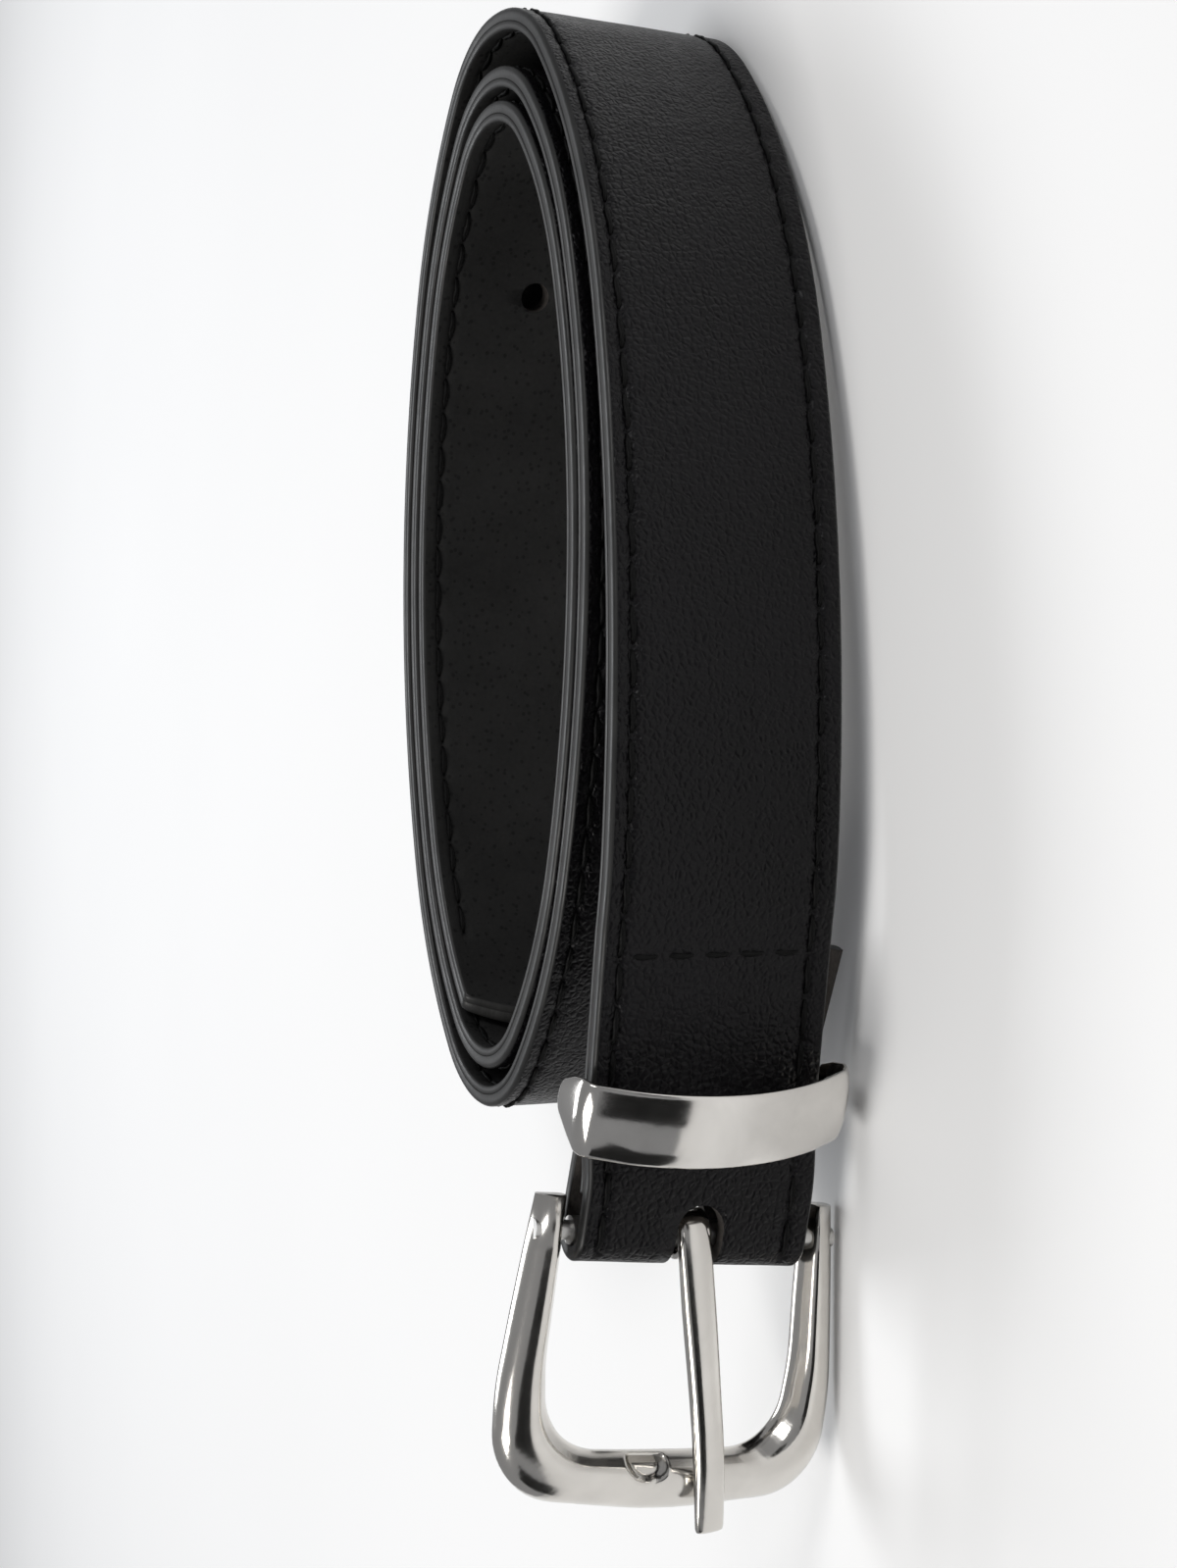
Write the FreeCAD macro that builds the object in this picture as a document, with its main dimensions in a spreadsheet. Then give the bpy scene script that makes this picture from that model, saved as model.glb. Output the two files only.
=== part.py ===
"""Leather belt rolled into a standing oval coil, with its buckle and metal keeper.

Row frame, in millimetres: +Z is up and is the strap's width, +X is the long axis of the coil,
and the origin is on the floor under the middle of the belt.  The strap stands on its edge.
"""
import FreeCAD, Part
import math
import os

from FreeCAD import Placement, Rotation, Vector

os.makedirs("parts", exist_ok=True)
doc = FreeCAD.newDocument("belt")
sheet = doc.addObject("Spreadsheet::Sheet", "dimensions")

SIZES = {
    # strap
    "strap_width": 30.0, "face_thick": 1.2, "core_thick": 0.6, "lining_thick": 1.2,
    "core_inset": 0.5, "hole_radius": 2.2, "hole_pitch": 25.0, "hole_count": 5,
    "first_hole": 122.0, "tip_point": 8.0,
    # coil: half lengths to the face at each end, half widths to the face at each side
    "top_reach_one": 76.2, "top_reach_two": 68.7, "top_reach_three": 64.1,
    "back_reach_one": 37.7, "back_reach_two": 33.8, "back_reach_three": 29.9,
    "foot_reach_one": 76.2, "foot_reach_two": 70.9, "foot_reach_three": 66.8,
    "side_reach_two": 37.7, "side_reach_three": 33.8,
    # front run, which stands off the coil
    "run_length": 115.0, "run_depth": 57.0, "tip_turn": 84.0,
    "knee_radius": 60.0, "knee_turn": 10.0, "knee_straight": 13.8,
    "ease_radius": 100.0, "ease_turn": 4.0, "bar_straight": 15.9,
    "lift": 5.4, "lift_span": 121.4,
    # fold round the bar and the tab behind it, which lean a little across the strap
    "fold_wrap": 183.0, "fold_gap": 0.15, "lean": 6.3, "lean_from": 5.0,
    "tab_near": 20.0, "tab_radius": 60.0, "tab_turn": 7.0, "tab_far": 9.2,
    "slot_width": 6.2, "slot_reach": 1.4,
    # thread
    "stitch_pitch": 5.2, "stitch_length": 4.3, "thread_width": 0.8, "thread_proud": 0.3,
    "thread_sunk": 0.15, "upper_inset": 2.4, "lower_inset": 3.0, "cross_pitch": 4.0,
    "first_stitch": 0.7, "cross_margin": 1.6, "tip_margin": 14.0,
    # buckle
    "bar_radius": 1.7, "bar_end_radius": 1.2, "frame_level": 20.15, "frame_thick": 4.4,
    "leg_top": 4.0, "leg_half": 20.1, "frame_half": 22.2, "frame_length": 33.4,
    "inner_half": 15.65, "inner_length": 26.0, "rest_radius": 2.7,
    "tongue_width": 4.3, "eye_radius": 2.95, "eye_play": 0.45, "tongue_length": 35.2,
    "tongue_skew": 9.0,
    # keeper
    "keeper_place": 18.0, "keeper_band": 9.2, "keeper_wall": 1.4, "keeper_low": 4.4,
    "keeper_high": 36.9, "keeper_arch": 11.0, "keeper_shoulder": 5.8, "keeper_wire": 0.55,
    "keeper_heel": 2.4, "keeper_tilt": 12.0,
}
for row, (alias, value) in enumerate(SIZES.items(), start=1):
    sheet.set("A%d" % row, alias)
    sheet.set("B%d" % row, str(value))
    sheet.setAlias("B%d" % row, alias)
doc.recompute()


def cell(alias):
    """Value of one driving dimension."""
    return float(getattr(sheet, alias))


UP = Vector(0, 0, 1)
STRAP_THICK = cell("face_thick") + cell("core_thick") + cell("lining_thick")
WRAP_THICK = cell("face_thick") + cell("core_thick")


# ---------------------------------------------------------------- the strap's line in plan

def quarter(reach_x, reach_y, from_end):
    """Three tangent arcs that make a quarter of an oval with the given half axes."""
    end_turn, shoulder_turn, side_turn = 45.0, 27.0, 18.0
    share = 0.36
    c1 = math.cos(math.radians(end_turn))
    c2 = math.cos(math.radians(end_turn + shoulder_turn))
    s1 = math.sin(math.radians(end_turn))
    s2 = math.sin(math.radians(end_turn + shoulder_turn))
    # reach_x and reach_y are both linear in the end radius and the side radius
    ax, bx = (1 - c1) + (1 - share) * (c1 - c2), share * (c1 - c2) + c2
    ay, by = s1 + (1 - share) * (s2 - s1), share * (s2 - s1) + (1 - s2)
    scale = ax * by - bx * ay
    end_radius = (reach_x * by - bx * reach_y) / scale
    side_radius = (ax * reach_y - ay * reach_x) / scale
    shoulder_radius = end_radius + share * (side_radius - end_radius)
    arcs = [(end_radius, end_turn), (shoulder_radius, shoulder_turn), (side_radius, side_turn)]
    return arcs if from_end else arcs[::-1]


def straight(length):
    """A straight run, written as a move with no turn."""
    return (length, 0.0)


def trace(moves, start, heading):
    """Follow arcs (radius, turn to the left) and straights; give each one's start and heading."""
    steps = []
    place = Vector(start)
    for size, turn in moves:
        steps.append((Vector(place), heading, size, turn))
        angle = math.radians(heading)
        if turn == 0:
            place = place + Vector(math.cos(angle), math.sin(angle), 0) * size
        else:
            side = 1.0 if turn > 0 else -1.0
            centre = place + Vector(-math.sin(angle), math.cos(angle), 0) * size * side
            spoke = place - centre
            place = centre + Rotation(UP, turn).multVec(spoke)
        heading += turn
    return steps, place, heading


def move_length(size, turn):
    return size if turn == 0 else size * math.radians(abs(turn))


def point_at(steps, distance):
    """Point on the face line and its heading, at a distance from the line's start."""
    for place, heading, size, turn in steps:
        length = move_length(size, turn)
        if distance <= length or (place, heading, size, turn) == steps[-1]:
            part = (distance, 0.0) if turn == 0 else (size, turn * distance / length)
            _, point, angle = trace([part], place, heading)
            return point, angle
        distance -= length


def offset_edges(steps, depth):
    """Edges of the line parallel to the face line, the given depth to its left."""
    edges = []
    for place, heading, size, turn in steps:
        angle = math.radians(heading)
        left = Vector(-math.sin(angle), math.cos(angle), 0)
        first = place + left * depth
        if turn == 0:
            last = first + Vector(math.cos(angle), math.sin(angle), 0) * size
            edges.append(Part.makeLine(first, last))
            continue
        side = 1.0 if turn > 0 else -1.0
        centre = place + left * size * side
        spoke = first - centre
        middle = centre + Rotation(UP, turn / 2).multVec(spoke)
        last = centre + Rotation(UP, turn).multVec(spoke)
        edges.append(Part.Arc(first, middle, last).toShape())
    return edges


def ribbon(steps, outer, inner, low=-10.0, high=60.0):
    """Upright wall between two depths behind the face line."""
    one = offset_edges(steps, outer)
    two = offset_edges(steps, inner)
    caps = [Part.makeLine(one[0].firstVertex(True).Point, two[0].firstVertex(True).Point),
            Part.makeLine(one[-1].lastVertex(True).Point, two[-1].lastVertex(True).Point)]
    wire = Part.Wire(Part.__sortEdges__(one + two + caps))
    face = Part.Face(wire)
    face.translate(Vector(0, 0, low))
    return face.extrude(Vector(0, 0, high - low))


def slab(profile):
    """Block with the given profile in X and Z, wide enough in Y to hold the whole belt."""
    points = [Vector(x, -150, z) for x, z in profile]
    face = Part.Face(Part.makePolygon(points + points[:1]))
    return face.extrude(Vector(0, 300, 0))


top_one, top_two, top_three = (cell("top_reach_" + n) for n in ("one", "two", "three"))
coil_moves = (
    quarter(top_one, cell("back_reach_one"), True)
    + quarter(cell("foot_reach_one"), cell("back_reach_one"), False)
    + quarter(cell("foot_reach_one"), cell("side_reach_two"), True)
    + quarter(top_two, cell("side_reach_two"), False)
    + quarter(top_two, cell("back_reach_two"), True)
    + quarter(cell("foot_reach_two"), cell("back_reach_two"), False)
    + quarter(cell("foot_reach_two"), cell("side_reach_three"), True)
    + quarter(top_three, cell("side_reach_three"), False)
    + quarter(top_three, cell("back_reach_three"), True)
)
last_quarter = quarter(cell("foot_reach_three"), cell("back_reach_three"), False)
coil_moves += last_quarter
coil_moves[-1] = (last_quarter[-1][0], last_quarter[-1][1] + cell("tip_turn") - 90.0)

fold_radius = cell("bar_radius") + cell("fold_gap") + WRAP_THICK
run_moves = [
    straight(cell("bar_straight")),
    (cell("ease_radius"), -cell("ease_turn")),
    straight(cell("knee_straight")),
    (cell("knee_radius"), cell("knee_turn")),
] + quarter(cell("run_length"), cell("run_depth"), False)
run_heading = cell("ease_turn") - cell("knee_turn")

# the front run ends at the far end of the coil, where the coil's own line begins
_, run_end, _ = trace(run_moves, Vector(0, 0, 0), run_heading)
run_start = Vector(top_one, 0, 0) - run_end
run_steps, _, _ = trace(run_moves, run_start, run_heading)
coil_steps, _, _ = trace(coil_moves, Vector(top_one, 0, 0), 90.0)
along = Rotation(UP, run_heading).multVec(Vector(1, 0, 0))
inward = Rotation(UP, run_heading).multVec(Vector(0, 1, 0))
bar = run_start + inward * fold_radius

# the tab, the fold and the first stretch of the front run make one stretch, from the tab's end
tab_moves = [straight(cell("tab_far")), (cell("tab_radius"), cell("tab_turn")), straight(cell("tab_near"))]
fold_moves = tab_moves + [(fold_radius, cell("fold_wrap")), straight(cell("lean_from"))]
fold_heading = run_heading - cell("fold_wrap") - cell("tab_turn")
_, fold_end, _ = trace(fold_moves, Vector(0, 0, 0), fold_heading)
fold_start = run_start + along * cell("lean_from") - fold_end
fold_steps, _, _ = trace(fold_moves, fold_start, fold_heading)
beyond_moves = [straight(cell("bar_straight") - cell("lean_from") + 3.0)] + run_moves[1:]
beyond_steps, _, _ = trace(beyond_moves, run_start + along * (cell("lean_from") - 3.0), run_heading)

tab_length = sum(move_length(*move) for move in tab_moves)
run_total = sum(move_length(*move) for move in run_moves)
coil_total = sum(move_length(*move) for move in coil_moves)

# ---------------------------------------------------------------- upright limits of the strap

width = cell("strap_width")
lift_from = top_one - STRAP_THICK
lift_to = lift_from - cell("lift_span")


def strap_low(x):
    """Height of the front run's lower edge, which climbs from the coil and then runs level."""
    return cell("lift") * min(max(lift_from - x, 0) / cell("lift_span"), 1.0)


def run_limits(inset):
    """Block that trims the front run to the strap's width."""
    far = bar.x - 8.0
    low, high = inset, width - inset
    profile = [(top_one + 5, low), (lift_from, low), (lift_to, cell("lift") + low),
               (far, cell("lift") + low), (far, cell("lift") + high), (lift_to, cell("lift") + high),
               (lift_from, high), (top_one + 5, high)]
    return slab(profile)


# the fold is square to the bar, which leans across the strap about a point near the fold
hinge = run_start + along * cell("lean_from") + UP * (width / 2 + cell("lift"))


def lean(shape):
    """Turn a shape from upright to the leaning bar's direction."""
    shape.rotate(hinge, inward, cell("lean"))
    return shape


def fold_layer(outer, inner, inset):
    """One layer of the tab and the fold, as far as the plane where the lean begins."""
    half = (width / 2 - inset) / math.cos(math.radians(cell("lean")))
    return lean(ribbon(fold_steps, outer, inner, hinge.z - half, hinge.z + half))


def run_layer(outer, inner, inset):
    """One layer of the front run, from the same plane to the coil."""
    beyond = Part.makeBox(20, 80, 80, Vector(-20, -40, -40))
    beyond.rotate(Vector(0, 0, 0), UP, run_heading)
    beyond.translate(hinge)
    return ribbon(beyond_steps, outer, inner).common(run_limits(inset)).cut(lean(beyond))


def belt_layer(outer, inner, inset, folds):
    """One layer of the strap, between two depths, with or without the fold and the tab."""
    pieces = [run_layer(outer, inner, inset), ribbon(coil_steps, outer, inner, inset, width - inset)]
    if folds:
        pieces.append(fold_layer(outer, inner, inset))
    solid = pieces[0].fuse(pieces[1:]).removeSplitter()
    for tool in strap_tools():
        solid = solid.cut(tool)
    return solid


def tip_tools():
    """Two cutters that slope the strap's end to a shallow point, inside its own turn of the coil."""
    place, heading, radius, turn = coil_steps[-1]
    tail, _, _ = trace([(radius, turn + 5.0)], place, heading)
    band = ribbon(tail, -0.4, STRAP_THICK + 0.4)
    tip, tip_heading = point_at(coil_steps, coil_total)
    lean = math.degrees(math.atan2(cell("tip_point"), width / 2))
    tools = []
    for side in (-1, 1):
        corner = Part.makeBox(60, 60, 60, Vector(0, -30, 0 if side > 0 else -60))
        corner.rotate(Vector(0, 0, 0), Vector(0, 1, 0), -side * lean)
        corner.rotate(Vector(0, 0, 0), UP, tip_heading)
        corner.translate(Vector(tip.x, tip.y, width / 2))
        tools.append(corner.common(band))
    return tools


def strap_tools():
    """Cutters for the tip's point, the row of holes and the tongue's slot."""
    tools = tip_tools()
    for number in range(int(cell("hole_count"))):
        distance = coil_total - cell("first_hole") - number * cell("hole_pitch")
        place, heading = point_at(coil_steps, distance)
        into = Rotation(UP, heading).multVec(Vector(0, 1, 0))
        foot = Vector(place.x, place.y, width / 2) - into * 0.4
        tools.append(Part.makeCylinder(cell("hole_radius"), STRAP_THICK + 0.7, foot, into))
    reach, slot = cell("slot_reach"), cell("slot_width")
    block = Part.makeBox(reach + 10, 4 * fold_radius, slot, Vector(-10, -2 * fold_radius, -slot / 2))
    ends = [Part.makeCylinder(slot / 2, 4 * fold_radius, Vector(reach, -2 * fold_radius, 0),
                              Vector(0, 1, 0))]
    slot_tool = block.fuse(ends)
    slot_tool.rotate(Vector(0, 0, 0), UP, run_heading)
    slot_tool.translate(Vector(bar.x, bar.y, cell("frame_level")))
    tools.append(lean(slot_tool))
    return tools


# ---------------------------------------------------------------- thread

def stitch(place, heading, depth, level, outwards):
    """One straight stitch on the strap's surface, as a short bar that is rounded at its ends."""
    length, wide = cell("stitch_length"), cell("thread_width")
    low = -cell("thread_sunk") if outwards else -cell("thread_proud")
    tall = cell("thread_sunk") + cell("thread_proud")
    bar_piece = Part.makeBox(length - wide, tall, wide, Vector(-(length - wide) / 2, 0, -wide / 2))
    ends = [Part.makeCylinder(wide / 2, tall, Vector(x, 0, 0), Vector(0, 1, 0))
            for x in (-(length - wide) / 2, (length - wide) / 2)]
    piece = bar_piece.fuse(ends).removeSplitter()
    lift = -cell("thread_proud") if outwards else -cell("thread_sunk")
    piece.translate(Vector(0, lift + depth, 0))
    piece.rotate(Vector(0, 0, 0), UP, heading)
    piece.translate(Vector(place.x, place.y, level))
    return piece


def stitch_row(inset, upper, outwards):
    """Stitches along one edge of the strap, on its face or on the lining beyond the tab."""
    pitch, first = cell("stitch_pitch"), cell("first_stitch")
    depth = 0.0 if outwards else STRAP_THICK
    pieces = []
    count = int((run_total - first) / pitch) + 1
    for number in range(count):
        distance = first + pitch * number
        if not outwards and distance < tab_length + pitch / 2:
            continue
        place, heading = point_at(run_steps, distance)
        level = strap_low(place.x) + (width - inset if upper else inset)
        piece = stitch(place, heading, depth, level, outwards)
        pieces.append(lean(piece) if distance < cell("lean_from") else piece)
    shift = first + pitch * count - run_total
    for number in range(int((coil_total - cell("tip_margin") - shift) / pitch)):
        place, heading = point_at(coil_steps, shift + pitch * number)
        level = width - inset if upper else inset
        pieces.append(stitch(place, heading, depth, level, outwards))
    return Part.makeCompound(pieces)


def upright_row(place, heading, low, high):
    """Upright stitches between two heights, on the outer side of the face leather."""
    count = int((high - low) / cell("cross_pitch"))
    step = (high - low) / count
    pieces = []
    for number in range(count):
        piece = stitch(Vector(0, 0, 0), 0.0, 0.0, 0.0, True)
        piece.rotate(Vector(0, 0, 0), Vector(0, 1, 0), 90.0)
        piece.rotate(Vector(0, 0, 0), UP, heading)
        piece.translate(Vector(place.x, place.y, low + step * (number + 0.5)))
        pieces.append(piece)
    return pieces


def cross_row():
    """The row across the strap that closes the tab."""
    place, heading = point_at(run_steps, tab_length - cell("cross_margin"))
    low = strap_low(place.x) + cell("lower_inset") + cell("thread_width")
    high = strap_low(place.x) + width - cell("upper_inset") - cell("thread_width")
    return Part.makeCompound(upright_row(place, heading, low, high))


def tab_rows():
    """The same rows where they come out on the back of the tab."""
    low, high = hinge.z - width / 2 + cell("lower_inset"), hinge.z + width / 2 - cell("upper_inset")
    place, heading = point_at(fold_steps, cell("cross_margin"))
    pieces = upright_row(place, heading, low + cell("thread_width"), high - cell("thread_width"))
    distance = tab_length - cell("first_stitch")
    while distance > cell("cross_margin") + 1.5:
        place, heading = point_at(fold_steps, distance)
        pieces += [stitch(place, heading, 0.0, level, True) for level in (low, high)]
        distance -= cell("stitch_pitch")
    return lean(Part.makeCompound(pieces))


# ---------------------------------------------------------------- rounded outlines

def rounded(corners):
    """Closed wire in X and Z through corners (x, z, radius), each rounded by a tangent arc."""
    joints = []
    total = len(corners)
    for index, (x, z, radius) in enumerate(corners):
        here = Vector(x, 0, z)
        before = Vector(corners[index - 1][0], 0, corners[index - 1][1]) - here
        after = Vector(corners[(index + 1) % total][0], 0, corners[(index + 1) % total][1]) - here
        before.normalize()
        after.normalize()
        if radius <= 0:
            joints.append((here, None, here))
            continue
        half = before.getAngle(after) / 2
        back = radius / math.tan(half)
        middle = (before + after).normalize() * (radius / math.sin(half) - radius)
        joints.append((here + before * back, here + middle, here + after * back))
    edges = []
    for index, (first, middle, last) in enumerate(joints):
        if middle is not None:
            edges.append(Part.Arc(first, middle, last).toShape())
        following = joints[(index + 1) % total][0]
        if (following - last).Length > 1e-6:
            edges.append(Part.makeLine(last, following))
    return Part.Wire(edges)


def plate(corners, low, high):
    """Plate with a rounded outline in X and Z, between two levels of Y."""
    face = Part.Face(rounded(corners))
    face.translate(Vector(0, low, 0))
    return face.extrude(Vector(0, high - low, 0))


def mirrored(corners):
    """Corners of an outline that is alike above and below its middle line."""
    return corners + [(x, -z, radius) for x, z, radius in reversed(corners) if z != 0]


# ---------------------------------------------------------------- buckle

def buckle_frame():
    """Open cast frame: two legs with eyes for the bar, a broad toe and a rest for the tongue."""
    half, thick = cell("frame_half"), cell("frame_thick")
    length, top = cell("frame_length"), cell("leg_top")
    outer = plate(mirrored([(-top, cell("leg_half"), 1.2), (19.0, half, 40.0),
                            (length - 2.0, half - 0.7, 9.0), (length, 0, 90.0)]),
                  -thick / 2, thick / 2)
    inner_half, inner_length = cell("inner_half"), cell("inner_length")
    inner = plate(mirrored([(-top - 5, inner_half, 0), (15.0, inner_half + 0.8, 30.0),
                            (inner_length, inner_half - 0.4, 7.5)]), -thick, thick)
    body = outer.cut(inner)
    front_edges = [edge for edge in body.Edges
                   if all(abs(v.Point.y - thick / 2) < 1e-6 for v in edge.Vertexes)]
    body = body.makeFillet(1.6, front_edges)
    back_edges = [edge for edge in body.Edges
                  if all(abs(v.Point.y + thick / 2) < 1e-6 for v in edge.Vertexes)]
    body = body.makeFillet(0.5, back_edges)
    dent = Part.makeCylinder(cell("rest_radius"), 20, Vector(length - 6.5, thick / 2 + 1.5, 2.0),
                             Vector(1, 0, 0))
    body = body.cut(dent)
    eye = Part.makeCylinder(cell("bar_end_radius"), 3 * half, Vector(0, 0, -1.5 * half), UP)
    return body.cut(eye).removeSplitter()


def buckle_tongue():
    """Tongue with its eye round the bar; the shank lies over the frame's toe."""
    wide, reach = cell("tongue_width"), cell("tongue_length")
    seat = cell("frame_thick") / 2 + 0.25
    side = [(0.0, cell("eye_radius"), 0), (8.2, 3.7, 22.0), (26.6, seat + 2.6, 14.0),
            (reach, seat + 1.4, 0.7), (reach - 0.2, seat, 0.4), (24.4, seat, 5.0),
            (8.2, 1.3, 18.0), (0.0, -1.0, 0)]
    shank = plate(side, -wide / 2, wide / 2)
    shank.rotate(Vector(0, 0, 0), Vector(1, 0, 0), -90)
    eye = Part.makeCylinder(cell("eye_radius"), wide, Vector(0, 0, -wide / 2), UP)
    whole = shank.fuse(eye).removeSplitter()
    bore = Part.makeCylinder(cell("bar_radius") + cell("eye_play"), 3 * wide,
                             Vector(0, 0, -1.5 * wide), UP)
    return whole.cut(bore)


# ---------------------------------------------------------------- keeper

def keeper_loop():
    """Arched metal loop; its sides narrow to a round wire held between strap and tab."""
    low, high, wall = cell("keeper_low"), cell("keeper_high"), cell("keeper_wall")
    arch, shoulder, band = cell("keeper_arch"), cell("keeper_shoulder"), cell("keeper_band")
    wire_radius = cell("keeper_wire")
    middle = (low + high) / 2

    def loop_face(grow):
        left, right = low - grow, high + grow
        back = wire_radius + (0.3 if grow else 4.0)
        edges = [Part.Arc(Vector(0, -shoulder - grow, left), Vector(0, -arch - grow, middle),
                          Vector(0, -shoulder - grow, right)).toShape(),
                 Part.makeLine(Vector(0, -shoulder - grow, right), Vector(0, back, right)),
                 Part.makeLine(Vector(0, back, right), Vector(0, back, left)),
                 Part.makeLine(Vector(0, back, left), Vector(0, -shoulder - grow, left))]
        return Part.Face(Part.Wire(edges))

    outer = loop_face(wall).extrude(Vector(band, 0, 0))
    shoulders = [edge for edge in outer.Edges
                 if abs(edge.Length - band) < 0.1 and edge.Vertexes[0].Point.y < -shoulder]
    outer = outer.makeFillet(2.2, shoulders)
    inner = loop_face(0).extrude(Vector(band, 0, 0))
    body = outer.cut(inner)
    body.translate(Vector(-band / 2, 0, 0))
    for side in (-1, 1):
        near, far = side * band / 2, side * (band / 2 + 3)
        corners = [Vector(near, -shoulder + 1.0, 0), Vector(far, -shoulder + 1.0, 0), Vector(far, 5, 0),
                   Vector(side * cell("keeper_heel"), 5, 0),
                   Vector(side * cell("keeper_heel"), wire_radius + 0.3, 0)]
        taper = Part.Face(Part.makePolygon(corners + corners[:1])).extrude(Vector(0, 0, 80))
        taper.translate(Vector(0, 0, -20))
        body = body.cut(taper)
    wire = Part.makeCylinder(wire_radius, high - low + wall, Vector(0, 0, low - wall / 2), UP)
    body = body.fuse(wire).removeSplitter()
    rim = [edge for edge in body.Edges
           if edge.Length > 12 and all(vertex.Point.y < -shoulder + 1.5 for vertex in edge.Vertexes)]
    return body.makeFillet(0.35, rim)


# ---------------------------------------------------------------- objects

def feature(label, shape, place=None):
    """Add a sub-part whose shape is set here."""
    item = doc.addObject("Part::Feature", label)
    item.Label = label
    item.Shape = shape
    item.Placement = place or Placement()
    return item


def bind(item, **cells):
    """Bind an object's properties to expressions on the sheet."""
    for name, text in cells.items():
        item.setExpression(name, text)
    return item


bar_core = bind(doc.addObject("Part::Cylinder", "bar_core"), Radius="dimensions.bar_radius",
                Height="2 * dimensions.inner_half - 0.4")
bar_core.setExpression("Placement.Base.z", "-dimensions.inner_half + 0.2")
bar_ends = bind(doc.addObject("Part::Cylinder", "bar_ends"), Radius="dimensions.bar_end_radius - 0.02",
                Height="2 * dimensions.leg_half - 0.2")
bar_ends.setExpression("Placement.Base.z", "-dimensions.leg_half + 0.1")
buckle_bar = doc.addObject("Part::MultiFuse", "buckle_bar")
buckle_bar.Shapes = [bar_core, bar_ends]
buckle_bar.Label = "buckle_bar"
doc.recompute()

at_bar = Vector(bar.x, bar.y, cell("frame_level"))
leaning = Placement(Vector(0, 0, 0), Rotation(inward, cell("lean")), hinge)
frame_place = leaning * Placement(at_bar, Rotation(UP, 180.0))
tongue_place = frame_place * Placement(Vector(0, 0, 0), Rotation(Vector(0, 1, 0), cell("tongue_skew")))
buckle_bar.Placement = frame_place
keeper_depth = STRAP_THICK + cell("keeper_wire") + 0.07
keeper_axis = run_start + along * cell("keeper_place") + inward * keeper_depth
keeper_place = Placement(keeper_axis, Rotation(UP, run_heading - cell("keeper_tilt")))

face_depth, core_depth = cell("face_thick"), cell("face_thick") + cell("core_thick")
sub_parts = [
    feature("face_leather", belt_layer(0.0, face_depth, 0.0, True)),
    feature("reinforcement_core", belt_layer(face_depth, core_depth, cell("core_inset"), True)),
    feature("lining_leather", belt_layer(core_depth, STRAP_THICK, 0.0, False)),
    feature("upper_face_stitching", stitch_row(cell("upper_inset"), True, True)),
    feature("lower_face_stitching", stitch_row(cell("lower_inset"), False, True)),
    feature("upper_lining_stitching", stitch_row(cell("upper_inset"), True, False)),
    feature("lower_lining_stitching", stitch_row(cell("lower_inset"), False, False)),
    feature("cross_stitching", cross_row()),
    feature("tab_stitching", tab_rows()),
    feature("buckle_frame", buckle_frame(), frame_place),
    feature("buckle_tongue", buckle_tongue(), tongue_place),
    feature("keeper_loop", keeper_loop(), keeper_place),
    buckle_bar,
]
doc.recompute()

# the origin is moved to the middle of the whole belt's footprint
whole = FreeCAD.BoundBox()
for item in sub_parts:
    whole.add(item.Shape.optimalBoundingBox())
shift = Vector(-whole.Center.x, -whole.Center.y, 0)
for item in sub_parts:
    item.Placement = Placement(item.Placement.Base + shift, item.Placement.Rotation)
doc.recompute()

for item in doc.Objects:
    bad = [state for state in item.State if state in ("Invalid", "Error")]
    if bad:
        raise RuntimeError("%s failed: %s" % (item.Label, bad))
for item in sub_parts:
    if item.Shape.isNull() or not item.Shape.isValid():
        raise RuntimeError("%s has no valid shape" % item.Label)
for item in sub_parts:
    item.Shape.exportStep("parts/%s.step" % item.Label)
    box = item.Shape.BoundBox
    print("%-24s solids %3d  volume %9.1f  x %7.2f %7.2f  y %7.2f %7.2f  z %6.2f %6.2f" % (
        item.Label, len(item.Shape.Solids), item.Shape.Volume,
        box.XMin, box.XMax, box.YMin, box.YMax, box.ZMin, box.ZMax))
axis = leaning.Rotation.multVec(UP)
print("shift", shift, "bar at", buckle_bar.Placement.Base, "bar axis", axis)
print("keeper at", keeper_axis + shift, "strap length", tab_length + run_total + coil_total)
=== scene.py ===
"""Looks of a black leather belt rolled into a standing oval coil, with buckle, tongue and keeper."""

import math

import bmesh
import bpy
import numpy as np
from mathutils import Matrix, Vector


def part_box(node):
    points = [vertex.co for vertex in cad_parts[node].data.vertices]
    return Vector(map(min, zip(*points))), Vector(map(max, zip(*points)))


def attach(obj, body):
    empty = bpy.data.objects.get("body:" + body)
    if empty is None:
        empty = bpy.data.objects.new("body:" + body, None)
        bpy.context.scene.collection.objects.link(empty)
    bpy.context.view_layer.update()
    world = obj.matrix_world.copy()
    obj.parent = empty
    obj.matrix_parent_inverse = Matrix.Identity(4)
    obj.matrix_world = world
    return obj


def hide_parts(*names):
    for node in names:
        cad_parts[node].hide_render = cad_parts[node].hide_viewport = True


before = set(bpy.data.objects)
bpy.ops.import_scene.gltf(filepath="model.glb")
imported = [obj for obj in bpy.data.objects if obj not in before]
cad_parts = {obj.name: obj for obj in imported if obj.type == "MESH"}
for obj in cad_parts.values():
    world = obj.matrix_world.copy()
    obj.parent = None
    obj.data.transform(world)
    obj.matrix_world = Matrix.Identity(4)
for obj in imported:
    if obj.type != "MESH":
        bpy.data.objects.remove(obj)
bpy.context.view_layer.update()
MM = 0.001

# ---------------------------------------------------------------- the strap's line, as in the CAD

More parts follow.
